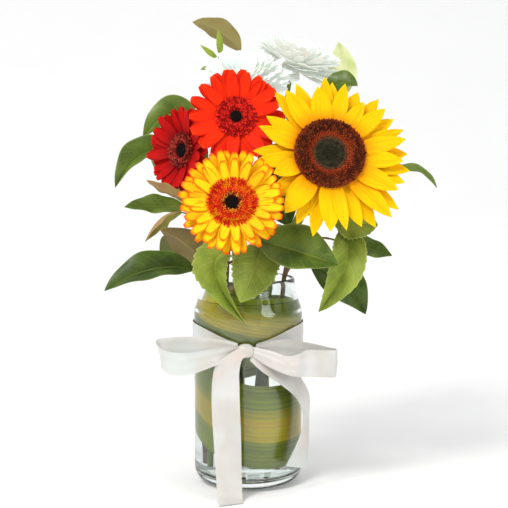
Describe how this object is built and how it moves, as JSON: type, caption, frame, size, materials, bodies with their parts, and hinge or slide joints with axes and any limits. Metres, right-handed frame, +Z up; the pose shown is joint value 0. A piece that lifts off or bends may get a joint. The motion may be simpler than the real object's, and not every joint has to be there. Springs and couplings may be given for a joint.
{
  "type": "bouquet of cut flowers in a glass vase",
  "caption": "Mixed bouquet with a sunflower, gerberas, white chrysanthemums and broad leaves in a clear glass jar vase of water, lined with a rolled leaf and tied with a satin ribbon bow.",
  "frame": {"origin": "middle of the vase's flat foot, on the surface it stands on", "axes": "+Z up; the bouquet's front, with the bow, faces -Y; +X is to the right of someone looking at the front"},
  "size_m": [0.3285, 0.2531, 0.4661],
  "materials": {
    "glass": "gloss",
    "water": "gloss",
    "rolled_leaf": "satin",
    "leaf": "satin",
    "pale_leaf": "satin",
    "brown_leaf": "matte",
    "twig": "matte",
    "green_stem": "satin",
    "sunflower_petals": "matte",
    "sunflower_ring": "matte",
    "sunflower_centre": "matte",
    "orange_petals": "satin",
    "red_petals": "satin",
    "yellow_petals": "satin",
    "white_petals": "satin",
    "inner_florets": "satin",
    "dark_disc": "matte",
    "pale_disc": "matte",
    "ribbon": "satin"
  },
  "bodies": {
    "root": {"leaf_back_left": "leaf", "leaf_back_low": "leaf", "leaf_back_low_left": "leaf", "leaf_back_middle": "leaf", "leaf_back_right": "leaf", "leaf_brown_underside": "brown_leaf", "leaf_front_oval": "leaf", "leaf_front_serrated_left": "pale_leaf", "leaf_front_serrated_right": "pale_leaf", "leaf_inner": "leaf", "leaf_left_bright_tip": "pale_leaf", "leaf_left_brown_small": "brown_leaf", "leaf_left_folded": "leaf", "leaf_left_pink": "brown_leaf", "leaf_left_upper": "leaf", "leaf_lower_left_long": "leaf", "leaf_right_dark": "leaf", "leaf_right_far": "leaf", "leaf_right_hanging": "pale_leaf", "leaf_right_small_tip": "leaf", "leaf_top_left": "brown_leaf", "leaf_top_right_dark": "leaf", "leaf_top_right_pale": "pale_leaf", "leaf_under_sunflower": "pale_leaf", "orange_gerbera_disc": "dark_disc", "orange_gerbera_inner_florets": "inner_florets", "orange_gerbera_ray_petals": "orange_petals", "orange_gerbera_stem": "green_stem", "red_gerbera_disc": "dark_disc", "red_gerbera_inner_florets": "inner_florets", "red_gerbera_ray_petals": "red_petals", "red_gerbera_stem": "green_stem", "ribbon_band": "ribbon", "ribbon_knot": "ribbon", "ribbon_loop_left": "ribbon", "ribbon_loop_right": "ribbon", "ribbon_tail_front": "ribbon", "ribbon_tail_right": "ribbon", "rolled_leaf": "rolled_leaf", "sunflower_back_petals": "sunflower_petals", "sunflower_centre": "sunflower_centre", "sunflower_floret_ring": "sunflower_ring", "sunflower_front_petals": "sunflower_petals", "sunflower_stem": "green_stem", "twig_back": "twig", "twig_left": "twig", "twig_right": "twig", "vase_glass": "glass", "water": "water", "white_left_disc": "pale_disc", "white_left_petals": "white_petals", "white_left_stem": "green_stem", "white_right_disc": "pale_disc", "white_right_petals": "white_petals", "white_right_stem": "green_stem", "yellow_gerbera_disc": "dark_disc", "yellow_gerbera_inner_florets": "inner_florets", "yellow_gerbera_ray_petals": "yellow_petals", "yellow_gerbera_stem": "green_stem", "young_shoot": "green_stem"}
  },
  "joints": []
}
